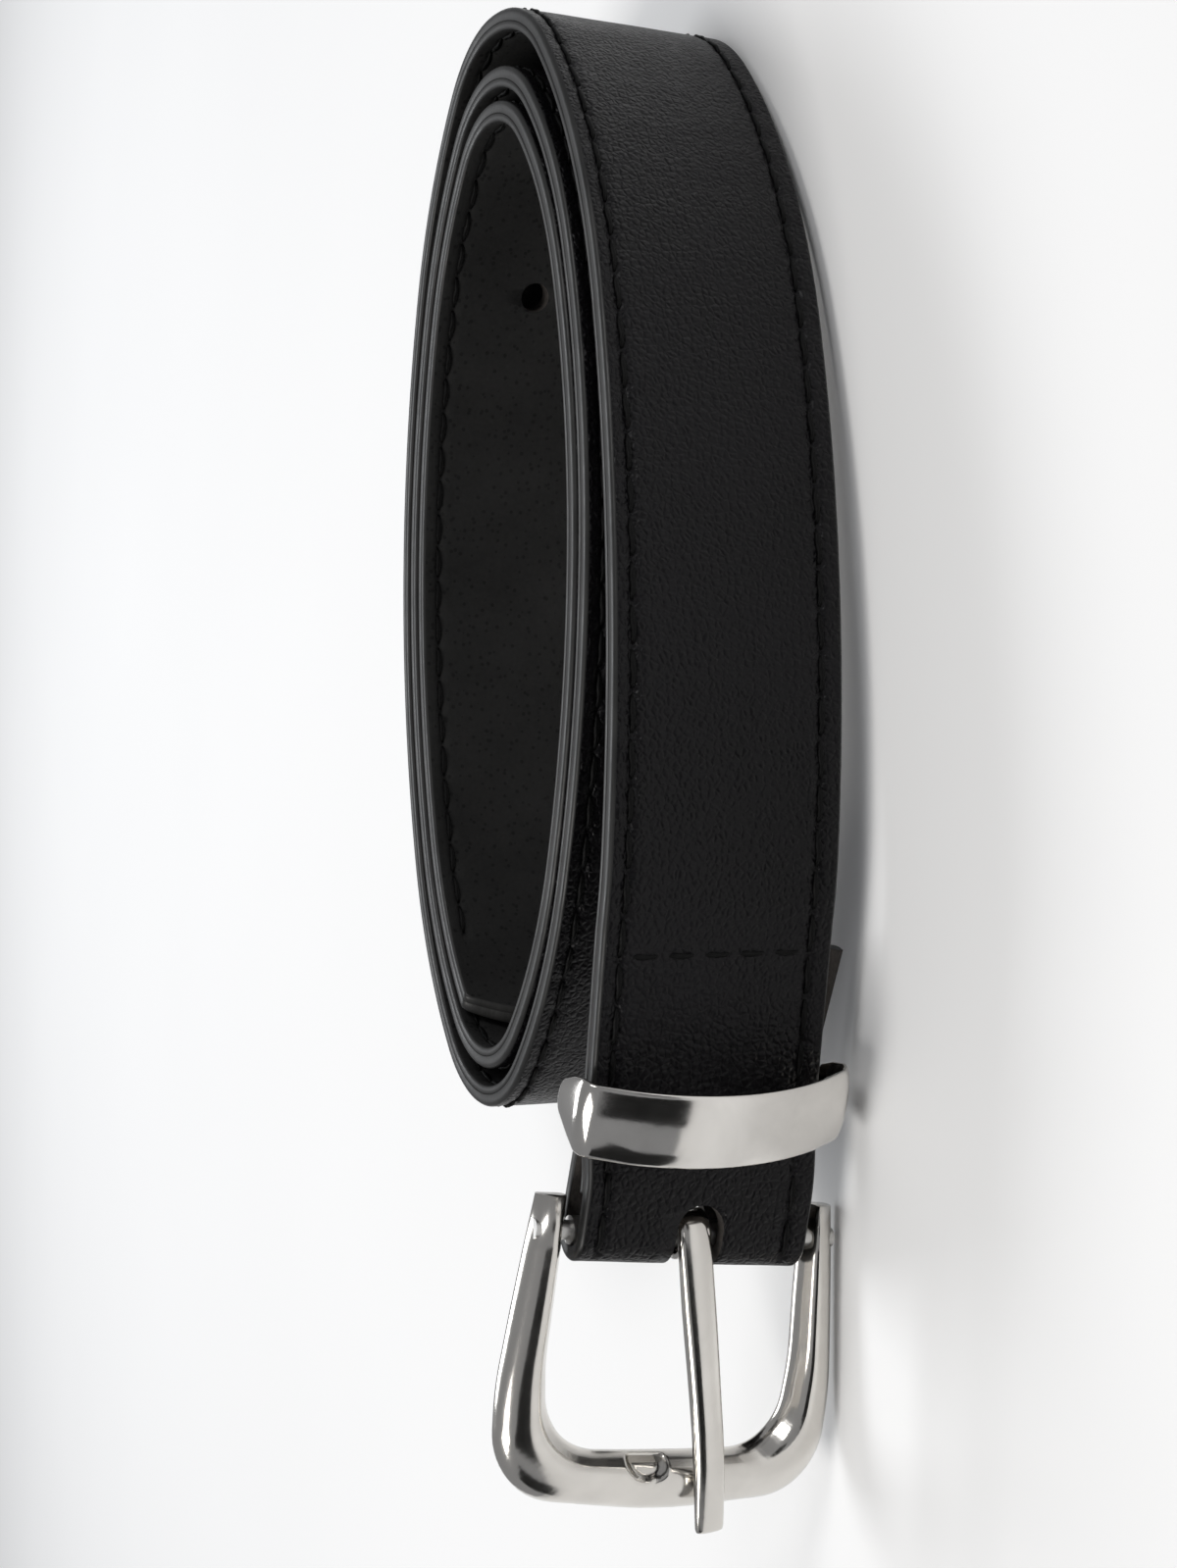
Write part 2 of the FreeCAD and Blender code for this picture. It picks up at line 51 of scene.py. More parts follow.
WIDTH = 30.0
THICK = 3.0
WRAP_THICK = 1.8
TOP = (76.2, 68.7, 64.1)
BACK = (37.7, 33.8, 29.9)
FOOT = (76.2, 70.9, 66.8)
SIDE = (None, 37.7, 33.8)
TIP_TURN = 84.0
RUN_LENGTH, RUN_DEPTH = 115.0, 57.0
BAR_STRAIGHT = 15.9
EASE = (100.0, -4.0)
KNEE_STRAIGHT = 13.8
KNEE = (60.0, 10.0)
FOLD_RADIUS = 3.65
FOLD_WRAP = 183.0
TAB_NEAR, TAB_RADIUS, TAB_TURN, TAB_FAR = 20.0, 60.0, 7.0, 9.2
LIFT, LIFT_SPAN = 5.4, 121.4
LEAN, LEAN_FROM, LEAN_EASE = 6.3, 5.0, (-2.0, 8.0)
TIP_POINT = 8.0
HOLE_RADIUS, HOLE_PITCH, HOLE_COUNT, FIRST_HOLE = 2.2, 25.0, 5, 122.0
SLOT_WIDTH, SLOT_REACH = 6.2, 1.4
STITCH_PITCH = 5.2
STITCH_START, STITCH_GAP, TIP_MARGIN = 0.7, 0.7, 14.0
FACE_EDGE, LINING_EDGE = 0.75, 0.6
UPPER_INSET, LOWER_INSET = 2.4, 3.0
CROSS_PITCH, CROSS_MARGIN, CROSS_SHORT = 4.0, 1.6, 0.8
BUCKLE_LEVEL = 20.15
LEG_TOP, LEG_HALF, FRAME_HALF, FRAME_LENGTH = 4.0, 20.1, 22.2, 33.4
INNER_TOP_HALF, INNER_HALF, INNER_TOE_HALF, INNER_LENGTH, INNER_BOW = 15.65, 16.45, 15.25, 26.0, 0.25
REST_FROM_BAR, REST_LEVEL, REST_DEPTH = 27.2, 2.6, 1.5
TONGUE_WIDTH, TONGUE_SKEW = 4.3, 9.0
KEEPER_PLACE, KEEPER_BAND, KEEPER_WALL = 18.0, 9.2, 1.4
KEEPER_LOW, KEEPER_HIGH, KEEPER_ARCH, KEEPER_SHOULDER = 4.4, 36.9, 11.0, 5.8
KEEPER_WIRE, KEEPER_HEEL, KEEPER_TILT = 0.55, 2.4, 12.0


def quarter(reach_x, reach_y, from_end):
    """Three tangent arcs that make a quarter of an oval with the given half axes."""
    end_turn, shoulder_turn, side_turn, share = 45.0, 27.0, 18.0, 0.36
    c1, s1 = math.cos(math.radians(end_turn)), math.sin(math.radians(end_turn))
    both = math.radians(end_turn + shoulder_turn)
    c2, s2 = math.cos(both), math.sin(both)
    ax, bx = (1 - c1) + (1 - share) * (c1 - c2), share * (c1 - c2) + c2
    ay, by = s1 + (1 - share) * (s2 - s1), share * (s2 - s1) + (1 - s2)
    scale = ax * by - bx * ay
    end_radius = (reach_x * by - bx * reach_y) / scale
    side_radius = (ax * reach_y - ay * reach_x) / scale
    shoulder_radius = end_radius + share * (side_radius - end_radius)
    arcs = [(end_radius, end_turn), (shoulder_radius, shoulder_turn), (side_radius, side_turn)]
    return arcs if from_end else arcs[::-1]


class Line:
    """A plan line of arcs (radius, turn to the left) and straights (length, 0)."""

    def __init__(self, moves, start, heading):
        self.steps = []
        place, angle = np.array(start, float), heading
        distance = 0.0
        for size, turn in moves:
            length = size if turn == 0 else size * math.radians(abs(turn))
            self.steps.append((distance, length, place, angle, size, turn))
            place, angle = self.advance(place, angle, size, turn, length)
            distance += length
        self.length, self.end, self.end_heading = distance, place, angle

    @staticmethod
    def advance(place, angle, size, turn, distance):
        a = math.radians(angle)
        if turn == 0:
            return place + np.array([math.cos(a), math.sin(a)]) * distance, angle
        side = 1.0 if turn > 0 else -1.0
        swept = side * distance / size
        centre = place + np.array([-math.sin(a), math.cos(a)]) * size * side
        spoke = place - centre
        cos, sin = math.cos(swept), math.sin(swept)
        turned = np.array([spoke[0] * cos - spoke[1] * sin, spoke[0] * sin + spoke[1] * cos])
        return centre + turned, angle + math.degrees(swept)

    def at(self, distance):
        """Point, and unit vectors along the line and to its left."""
        step = self.steps[-1]
        for candidate in self.steps:
            if distance <= candidate[0] + candidate[1]:
                step = candidate
                break
        begin, _, place, angle, size, turn = step
        point, heading = self.advance(place, angle, size, turn, distance - begin)
        a = math.radians(heading)
        return point, np.array([math.cos(a), math.sin(a)]), np.array([-math.sin(a), math.cos(a)])


coil_moves = (quarter(TOP[0], BACK[0], True) + quarter(FOOT[0], BACK[0], False)
              + quarter(FOOT[0], SIDE[1], True) + quarter(TOP[1], SIDE[1], False)
              + quarter(TOP[1], BACK[1], True) + quarter(FOOT[1], BACK[1], False)
              + quarter(FOOT[1], SIDE[2], True) + quarter(TOP[2], SIDE[2], False)
              + quarter(TOP[2], BACK[2], True) + quarter(FOOT[2], BACK[2], False))
coil_moves[-1] = (coil_moves[-1][0], coil_moves[-1][1] + TIP_TURN - 90.0)
run_moves = ([(BAR_STRAIGHT, 0), EASE, (KNEE_STRAIGHT, 0), KNEE]
             + quarter(RUN_LENGTH, RUN_DEPTH, False))
RUN_HEADING = -EASE[1] - KNEE[1]

# the frame's box of the outer leather fixes where the coil's far end lies
leather_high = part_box("face_leather")[1]
far_end = np.array([leather_high[0] / MM, leather_high[1] / MM - BACK[0]])
run_shape = Line(run_moves, (0, 0), RUN_HEADING)
run_start = far_end - run_shape.end
along = np.array([math.cos(math.radians(RUN_HEADING)), math.sin(math.radians(RUN_HEADING))])
inward = np.array([-along[1], along[0]])
bar_centre = run_start + inward * FOLD_RADIUS
tab_heading = RUN_HEADING - FOLD_WRAP - TAB_TURN
tab_moves = [(TAB_FAR, 0), (TAB_RADIUS, TAB_TURN), (TAB_NEAR, 0)]
TAB_END = Line(tab_moves, (0, 0), 0.0).length
fold_moves = tab_moves + [(FOLD_RADIUS, FOLD_WRAP)]
fold_shape = Line(fold_moves, (0, 0), tab_heading)
strap_line = Line(fold_moves + run_moves + coil_moves, run_start - fold_shape.end, tab_heading)
WRAP_END = fold_shape.length
RUN_END = WRAP_END + run_shape.length
TOTAL = strap_line.length
LIFT_FROM = far_end[0] - THICK

# the fold and all that hangs from it lean across the strap, about a point near the fold
hinge = np.append(run_start + along * LEAN_FROM, WIDTH / 2 + LIFT)
lean_axis = Vector((inward[0], inward[1], 0.0))


def leaned(point, share=1.0):
    """A point turned from upright to the leaning bar's direction."""
    turn = np.array(Matrix.Rotation(math.radians(LEAN * share), 3, lean_axis))
    return hinge + turn @ (np.asarray(point, float) - hinge)


def smooth(value, low, high):
    t = min(max((value - low) / (high - low), 0.0), 1.0)
    return t * t * (3 - 2 * t)


def lean_share(distance):
    """How much of the lean applies at a distance along the strap's line."""
    from_seam = distance - (WRAP_END + LEAN_FROM)
    return 1.0 - smooth(from_seam, *LEAN_EASE)


def limits(distance, x):
    """Lower and upper edge of the strap at a distance along its line, before the lean."""
    climb = LIFT * min(max(LIFT_FROM - x, 0.0) / LIFT_SPAN, 1.0) if distance < RUN_END else 0.0
    if distance < WRAP_END:
        climb = LIFT
    left = TOTAL - distance
    half = WIDTH / 2
    if left < TIP_POINT:
        half *= max(left / TIP_POINT, 0.04) ** 0.85
    return climb + WIDTH / 2 - half, climb + WIDTH / 2 + half


def strap_point(distance, depth, level):
    """Point of the strap from its distance along, depth behind the face and height."""
    point, forward, left = strap_line.at(distance)
    place = np.append(point + left * depth, level)
    share = lean_share(distance)
    return leaned(place, share) if share > 0 else place


# ---------------------------------------------------------------- strap meshes

def stitch_places():
    """Distance of each stitch's middle along the strap's line."""
    first = WRAP_END + STITCH_START
    count = int((TOTAL - TIP_MARGIN - first) / STITCH_PITCH)
    return [first + STITCH_PITCH * number for number in range(count)]


STITCHES = stitch_places()


def hole_closeness(distance):
    """1 at a needle hole, falling to 0 half way along a stitch; 0 where there is no stitching."""
    first, last = STITCHES[0] - STITCH_PITCH / 2, STITCHES[-1] + STITCH_PITCH / 2
    fade = smooth(distance, first - 2.0, first) * (1 - smooth(distance, last, last + 2.0))
    phase = (distance - first) / STITCH_PITCH
    near = abs(phase - round(phase)) * STITCH_PITCH
    return fade * math.exp(-(near / 0.75) ** 2), fade


def groove(across, inset, closeness, fade):
    """Depth of the sewn channel at a distance from the edge."""
    gap = abs(across - inset)
    channel = 0.26 * math.exp(-(gap / 0.55) ** 2)
    dimple = 0.42 * closeness * math.exp(-(gap / 0.5) ** 2)
    return fade * channel + dimple


def rows_across(width):
    """Distances from the lower edge at which a leather surface has points."""
    lower = [0.9, 1.4, 2.0, 2.5, LOWER_INSET, 3.5, 4.0, 4.8]
    upper = [width - d for d in (0.9, 1.3, 1.6, 1.95, UPPER_INSET, 2.85, 3.3, 4.1)][::-1]
    middle = [4.8 + (width - 4.1 - 4.8) * step / 7 for step in range(1, 7)]
    return lower + middle + upper


def surface_depth(distance, across, width):
    """Depth below the leather's surface: channels, puckers beside them and a slight crown."""
    close, fade = hole_closeness(distance)
    depth = groove(across, LOWER_INSET, close, fade) + groove(width - across, UPPER_INSET, close, fade)
    rim = min(across, width - across)
    pucker = 0.07 * close * math.exp(-((rim - 1.3) / 0.6) ** 2)
    wave = 0.035 * math.sin(distance * 0.61 + across * 0.35) * math.sin(distance * 0.23 - across * 0.2)
    return depth + pucker + 0.05 + wave


def corner(radius, steps):
    """Points of a rounded corner, each as its distances inwards from the edge and below the surface."""
    points = []
    for step in range(steps + 1):
        angle = math.radians(90.0 * step / steps)
        points.append((radius - radius * math.cos(angle), radius - radius * math.sin(angle)))
    return points


def face_ring(distance, width, thick):
    """Section of the outer leather: (height above the lower edge, depth, is painted edge)."""
    round_edge = corner(FACE_EDGE, 4)
    ring = [(inset, depth, True) for inset, depth in round_edge[:-1]]
    ring += [(across, surface_depth(distance, across, width), False) for across in rows_across(width)]
    ring += [(width - inset, depth, True) for inset, depth in round_edge[:-1][::-1]]
    ring += [(width - 0.02, thick - 0.12, True), (width - 0.14, thick, True)]
    ring += [(width * share, thick, None) for share in (0.8, 0.5, 0.2)]
    ring += [(0.14, thick, True), (0.02, thick - 0.12, True)]
    return ring


def lining_ring(distance, width, thick):
    """Section of the lining, with depths counted from the lining's own outer side."""
    round_edge = corner(LINING_EDGE, 4)
    ring = [(inset, thick - depth, True) for inset, depth in round_edge[:-1]]
    ring += [(across, thick - surface_depth(distance, across, width), False) for across in rows_across(width)]
    ring += [(width - inset, thick - depth, True) for inset, depth in round_edge[:-1][::-1]]
    ring += [(width - 0.02, 0.12, True), (width - 0.14, 0.0, True)]
    ring += [(width * share, 0.0, None) for share in (0.8, 0.5, 0.2)]
    ring += [(0.14, 0.0, True), (0.02, 0.12, True)]
    return ring


def samples(begin, end):
    """Distances of the sections, eight to a stitch so that every needle hole gets one."""
    step = STITCH_PITCH / 8
    first = STITCHES[0] - STITCH_PITCH / 2
    values = [begin]
    number = math.ceil((begin - first) / step + 0.2)
    while first + number * step < end - 0.2 * step:
        values.append(first + number * step)
        number += 1
    return values + [end]


def sweep(name, begin, end, ring_of, base_depth, thickness, materials):
    """Leather layer swept along the strap's line, with UVs in metres along and across."""
    verts, uvs, marks, rings = [], [], [], []
    for distance in samples(begin, end):
        low, high = limits(distance, strap_line.at(distance)[0][0])
        ring = ring_of(distance, WIDTH, thickness)
        squeeze = (high - low) / WIDTH
        rings.append(len(ring))
        for height, depth, mark in ring:
            place = strap_point(distance, base_depth + depth, low + height * squeeze)
            verts.append(tuple(place * MM))
            uvs.append((distance * MM, (height - WIDTH / 2) * MM))
            marks.append(mark)
    size = rings[0]
    faces, slots = [], []
    for i in range(len(rings) - 1):
        for j in range(size):
            k = (j + 1) % size
            faces.append((i * size + j, i * size + k, (i + 1) * size + k, (i + 1) * size + j))
            first, second = marks[j], marks[k]
            slots.append(1 if first is True and second is True else (2 if None in (first, second) else 0))
    faces.append(tuple(range(size)))
    faces.append(tuple((len(rings) - 1) * size + j for j in range(size))[::-1])
    slots += [1, 1]
    mesh = bpy.data.meshes.new(name)
    mesh.from_pydata(verts, [], faces)
    for material in materials:
        mesh.materials.append(material)
    mesh.polygons.foreach_set("material_index", slots)
    layer = mesh.uv_layers.new(name="strap")
    flat = np.array(uvs)[np.array([loop.vertex_index for loop in mesh.loops])]
    layer.data.foreach_set("uv", flat.ravel())
    mesh.validate()
    fix_normals(mesh)
    piece = bpy.data.objects.new(name, mesh)
    bpy.context.collection.objects.link(piece)
    for polygon in mesh.polygons:
        polygon.use_smooth = True
    return piece


def fix_normals(mesh):
    work = bmesh.new()
    work.from_mesh(mesh)
    bmesh.ops.recalc_face_normals(work, faces=work.faces)
    work.to_mesh(mesh)
    work.free()


def punch(piece, cutters, inner_material):
    """Cuts holes through a piece; the new walls get the raw leather material."""
    joined = join_meshes(piece.name + "_cutter", cutters)
    joined.data.materials.append(inner_material)
    modifier = piece.modifiers.new("punch", "BOOLEAN")
    modifier.object, modifier.operation, modifier.solver = joined, "DIFFERENCE", "EXACT"
    modifier.material_mode = "TRANSFER"
    apply_modifiers(piece)
    bpy.data.objects.remove(joined)


def apply_modifiers(piece):
    graph = bpy.context.evaluated_depsgraph_get()
    mesh = bpy.data.meshes.new_from_object(piece.evaluated_get(graph))
    old = piece.data
    piece.modifiers.clear()
    piece.data = mesh
    bpy.data.meshes.remove(old)


def join_meshes(name, parts):
    """One object of several (verts, faces) pairs."""
    verts, faces = [], []
    for part_verts, part_faces in parts:
        base = len(verts)
        verts += part_verts
        faces += [tuple(base + index for index in face) for face in part_faces]
    mesh = bpy.data.meshes.new(name)
    mesh.from_pydata(verts, [], faces)
    fix_normals(mesh)
    piece = bpy.data.objects.new(name, mesh)
    bpy.context.collection.objects.link(piece)
    return piece


def prism(outline, origin, right, up, through, low, high):
    """Closed prism of an outline in the plane of two directions, along a third."""
    verts = []
    for level in (low, high):
        for a, b in outline:
            verts.append(tuple((origin + right * a + up * b + through * level) * MM))
    count = len(outline)
    faces = [tuple(range(count)), tuple(range(count, 2 * count))[::-1]]
    faces += [(i, (i + 1) % count, count + (i + 1) % count, count + i) for i in range(count)]
    return verts, faces


def circle(radius, count=28):
    return [(radius * math.cos(2 * math.pi * i / count), radius * math.sin(2 * math.pi * i / count))
            for i in range(count)]


def hole_cutters():
    """A drill for each punched hole, through both layers of its own turn only."""
    drills = []
    for number in range(HOLE_COUNT):
        distance = TOTAL - FIRST_HOLE - number * HOLE_PITCH
        point, forward, left = strap_line.at(distance)
        origin = np.array([point[0], point[1], WIDTH / 2])
        drills.append(prism(circle(HOLE_RADIUS), origin, np.append(forward, 0), np.array([0, 0, 1.0]),
                            np.append(left, 0), -0.35, THICK + 0.35))
    return drills


def slot_cutter():
    """The long slot through the fold, for the tongue; it is rounded at its two ends."""
    half = SLOT_WIDTH / 2
    outline = [(-10.0, -half), (SLOT_REACH, -half)]
    outline += [(SLOT_REACH + half * math.sin(a), -half * math.cos(a))
                for a in [math.pi * i / 10 for i in range(1, 10)]]
    outline += [(SLOT_REACH, half), (-10.0, half)]
    origin = np.array([bar_centre[0], bar_centre[1], BUCKLE_LEVEL])
    verts, faces = prism(outline, origin, np.append(along, 0), np.array([0, 0, 1.0]), np.append(inward, 0),
                         -2 * FOLD_RADIUS, 2 * FOLD_RADIUS)
    return [tuple(leaned(np.array(vert) / MM) * MM) for vert in verts], faces


# ---------------------------------------------------------------- thread

def thread_piece(name, places, material):
    """Stitches of two-ply thread: each is a low arch between its two needle holes."""
    ring, steps = 8, 9
    parts = []
    for origin, forward, side, out, length in places:
        verts = []
        for step in range(steps):
            t = step / (steps - 1)
            bow = math.sin(math.pi * t)
            radius = 0.37 * (0.55 + 0.45 * min(bow * 1.8, 1.0))
            centre = origin + forward * ((t - 0.5) * length) + out * (-0.52 + 0.42 * min(bow * 1.6, 1.0))
            for index in range(ring):
                angle = 2 * math.pi * index / ring + 1.6 * math.pi * t
                lobe = radius * (1.0 + 0.16 * math.cos(2 * angle - 3.2 * math.pi * t))
                spot = centre + side * (lobe * math.cos(angle)) + out * (0.72 * lobe * math.sin(angle))
                verts.append(tuple(spot * MM))
        faces = [(s * ring + i, s * ring + (i + 1) % ring,
                  (s + 1) * ring + (i + 1) % ring, (s + 1) * ring + i)
                 for s in range(steps - 1) for i in range(ring)]
        faces += [tuple(range(ring)), tuple((steps - 1) * ring + i for i in range(ring))[::-1]]
        parts.append((verts, faces))
    piece = join_meshes(name, parts)
    piece.data.materials.append(material)
    for polygon in piece.data.polygons:
        polygon.use_smooth = True
    return piece


def strap_ways(distance, outwards):
    """Unit vectors at a place on the strap: along it, up its width and out of its surface."""
    _, forward, left = strap_line.at(distance)
    ways = [np.append(forward, 0), np.array([0, 0, 1.0]), np.append(-left if outwards else left, 0)]
    share = lean_share(distance)
    return [leaned(hinge + way, share) - hinge for way in ways] if share > 0 else ways


def edge_row(upper, on_face):
    """Places of the stitches of one row, on the face or on the lining beyond the tab."""
    places = []
    for number, distance in enumerate(STITCHES):
        if not on_face and distance < WRAP_END + TAB_END + STITCH_PITCH / 2:
            continue
        low, high = limits(distance, strap_line.at(distance)[0][0])
        level = high - UPPER_INSET if upper else low + LOWER_INSET
        origin = strap_point(distance, 0.0 if on_face else THICK, level)
        forward, up, out = strap_ways(distance, on_face)
        way = forward + up * 0.035 * math.sin(number * 2.4)
        places.append((origin, way / np.linalg.norm(way), up, out, STITCH_PITCH - STITCH_GAP))
    return places


def upright_places(distance):
    """Stitches across the strap's width, on the face leather."""
    low, high = limits(distance, strap_line.at(distance)[0][0])
    low, high = low + LOWER_INSET + CROSS_SHORT, high - UPPER_INSET - CROSS_SHORT
    count = int((high - low) / CROSS_PITCH)
    step = (high - low) / count
    forward, up, out = strap_ways(distance, True)
    return [(strap_point(distance, 0.0, low + step * (number + 0.5)), up, forward, out, step - 0.4)
            for number in range(count)]


def tab_places():
    """The rows where they come out on the back of the tab."""
    places = upright_places(CROSS_MARGIN)
    distance = TAB_END - STITCH_START
    while distance > CROSS_MARGIN + 1.5:
        forward, up, out = strap_ways(distance, True)
        for level in (LIFT + LOWER_INSET, LIFT + WIDTH - UPPER_INSET):
            places.append((strap_point(distance, 0.0, level), forward, up, out, STITCH_PITCH - STITCH_GAP))
        distance -= STITCH_PITCH
    return places


# ---------------------------------------------------------------- materials

class Nodes:
    """Short way to make and link the nodes of one material."""

    def __init__(self, name):
        self.material = bpy.data.materials.new(name)
        self.material.use_nodes = True
        self.tree = self.material.node_tree
        self.tree.nodes.clear()
        self.output = self.add("ShaderNodeOutputMaterial")
        self.shader = self.add("ShaderNodeBsdfPrincipled")
        self.link(self.shader.outputs[0], self.output.inputs[0])

    def add(self, kind, **settings):
        node = self.tree.nodes.new(kind)
        for name, value in settings.items():
            if hasattr(node, name):
                setattr(node, name, value)
            else:
                node.inputs[name.replace("_", " ")].default_value = value
        return node

    def link(self, out, into):
        self.tree.links.new(out, into)

    def set(self, **values):
        for name, value in values.items():
            self.shader.inputs[name.replace("_", " ")].default_value = value

    def scaled(self, factor, coordinate="Object"):
        place = self.add("ShaderNodeTexCoord")
        mapping = self.add("ShaderNodeMapping")
        mapping.inputs["Scale"].default_value = factor if isinstance(factor, tuple) else (factor,) * 3
        self.link(place.outputs[coordinate], mapping.inputs["Vector"])
        return mapping.outputs[0]

    def noise(self, vector, scale, detail=3.0, rough=0.5, distortion=0.0):
        node = self.add("ShaderNodeTexNoise", Scale=scale, Detail=detail, Roughness=rough,
                        Distortion=distortion)
        self.link(vector, node.inputs["Vector"])
        return node.outputs["Fac"]

    def cells(self, vector, scale, feature="F1", random=1.0):
        node = self.add("ShaderNodeTexVoronoi")
        node.feature = feature
        node.inputs["Scale"].default_value = scale
        node.inputs["Randomness"].default_value = random
        self.link(vector, node.inputs["Vector"])
        return node.outputs["Distance"]

    def ramp(self, value, stops):
        node = self.add("ShaderNodeValToRGB")
        while len(node.color_ramp.elements) < len(stops):
            node.color_ramp.elements.new(0.5)
        for element, (place, colour) in zip(node.color_ramp.elements, stops):
            element.position = place
            element.color = colour if len(colour) == 4 else (*colour, 1.0)
        self.link(value, node.inputs[0])
        return node.outputs[0]

    def math(self, operation, a, b=None, clamp=False):
        node = self.add("ShaderNodeMath")
        node.operation, node.use_clamp = operation, clamp
        for index, value in enumerate((a, b)):
            if value is None:
                continue
            if isinstance(value, (int, float)):
                node.inputs[index].default_value = value
            else:
                self.link(value, node.inputs[index])
        return node.outputs[0]

    def bump(self, height, strength, distance, before=None):
        node = self.add("ShaderNodeBump", Strength=strength, Distance=distance)
        self.link(height, node.inputs["Height"])
        if before is not None:
            self.link(before, node.inputs["Normal"])
        return node.outputs[0]


def grey(value, tint=(1.0, 1.0, 1.0)):
    return tuple(value * part for part in tint)


def face_leather_material():
    """Fine pebbled black leather with a faint plum cast; glossy on top of each grain."""
    n = Nodes("face_leather_look")
    vector = n.scaled(1000.0)
    fine = n.cells(vector, 1.9, "SMOOTH_F1")
    pebble = n.cells(vector, 1.05, "DISTANCE_TO_EDGE")
    pore = n.noise(vector, 0.45, 4.0, 0.6)
    patch = n.noise(vector, 0.035, 3.0, 0.55)
    wrinkle = n.noise(n.scaled((120.0, 120.0, 420.0)), 1.0, 4.0, 0.6, 0.6)
    tone = n.math("ADD", n.math("MULTIPLY", patch, 0.6), n.math("MULTIPLY", pore, 0.4))
    colour = n.ramp(tone, [(0.3, grey(0.0018, (1.0, 0.9, 1.08))), (0.7, grey(0.0055, (1.0, 0.9, 1.1)))])
    n.link(colour, n.shader.inputs["Base Color"])
    rough = n.ramp(n.math("ADD", n.math("MULTIPLY", pore, 0.5), n.math("MULTIPLY", patch, 0.5)),
                   [(0.3, grey(0.3)), (0.7, grey(0.48))])
    n.link(rough, n.shader.inputs["Roughness"])
    height = n.math("ADD", n.math("MULTIPLY", fine, -0.55),
                    n.math("MULTIPLY", n.math("MINIMUM", pebble, 0.28), 1.2))
    height = n.math("ADD", height, n.math("MULTIPLY", pore, 0.35))
    soft = n.bump(wrinkle, 0.12, 0.0006)
    n.link(n.bump(height, 0.9, 0.0003, soft), n.shader.inputs["Normal"])
    n.set(Specular_IOR_Level=0.17)
    return n.material


def lining_material():
    """Matte charcoal lining with a scatter of small pores."""
    n = Nodes("lining_leather_look")
    vector = n.scaled(1000.0)
    pores = n.cells(vector, 0.8)
    spots = n.math("LESS_THAN", pores, 0.24)
    patch = n.noise(vector, 0.06, 4.0, 0.6)
    fine = n.noise(vector, 1.6, 4.0, 0.65)
    tone = n.math("SUBTRACT", n.math("ADD", n.math("MULTIPLY", patch, 0.55), n.math("MULTIPLY", fine, 0.45)),
                  n.math("MULTIPLY", spots, 0.22))
    colour = n.ramp(tone, [(0.25, grey(0.009)), (0.75, grey(0.027, (1.0, 0.99, 0.97)))])
    n.link(colour, n.shader.inputs["Base Color"])
    n.link(n.ramp(fine, [(0.2, grey(0.72)), (0.8, grey(0.9))]), n.shader.inputs["Roughness"])
    height = n.math("SUBTRACT", fine, n.math("MULTIPLY", spots, 0.7))
    n.link(n.bump(height, 0.4, 0.00012), n.shader.inputs["Normal"])
    n.set(Specular_IOR_Level=0.12)
    return n.material


def edge_paint_material():
    """Painted, burnished edge: semi-gloss, a little uneven, rubbed paler in places."""
    n = Nodes("edge_paint_look")
    vector = n.scaled(1000.0)
    along_edge = n.noise(n.scaled((300.0, 300.0, 1500.0)), 1.0, 4.0, 0.6)
    patch = n.noise(vector, 0.09, 3.0, 0.5)
    colour = n.ramp(patch, [(0.3, grey(0.008)), (0.72, grey(0.022, (1.0, 0.99, 0.97)))])
    n.link(colour, n.shader.inputs["Base Color"])
    n.link(n.ramp(along_edge, [(0.25, grey(0.3)), (0.75, grey(0.5))]), n.shader.inputs["Roughness"])
    n.link(n.bump(along_edge, 0.25, 0.00015), n.shader.inputs["Normal"])
    n.set(Specular_IOR_Level=0.3)
    return n.material


def raw_leather_material():
    """Bare fibre seen in the walls of the slot and the punched holes."""
    n = Nodes("raw_leather_look")
    fibre = n.noise(n.scaled((1400.0, 1400.0, 3600.0)), 1.0, 5.0, 0.7)
    colour = n.ramp(fibre, [(0.25, (0.012, 0.01, 0.009)), (0.8, (0.07, 0.06, 0.052))])
    n.link(colour, n.shader.inputs["Base Color"])
    n.link(n.ramp(fibre, [(0.2, grey(0.8)), (0.8, grey(0.95))]), n.shader.inputs["Roughness"])
    n.link(n.bump(fibre, 0.6, 0.0002), n.shader.inputs["Normal"])
    return n.material


def thread_material():
    """Black bonded thread with a fine twist."""
    n = Nodes("thread_look")
    fibre = n.noise(n.scaled((2600.0, 2600.0, 2600.0)), 1.0, 4.0, 0.6)
    n.link(n.ramp(fibre, [(0.3, grey(0.0012)), (0.75, grey(0.004))]), n.shader.inputs["Base Color"])
    n.link(n.ramp(fibre, [(0.2, grey(0.42)), (0.8, grey(0.65))]), n.shader.inputs["Roughness"])
    n.link(n.bump(fibre, 0.5, 0.0001), n.shader.inputs["Normal"])
    n.set(Specular_IOR_Level=0.12)
    return n.material


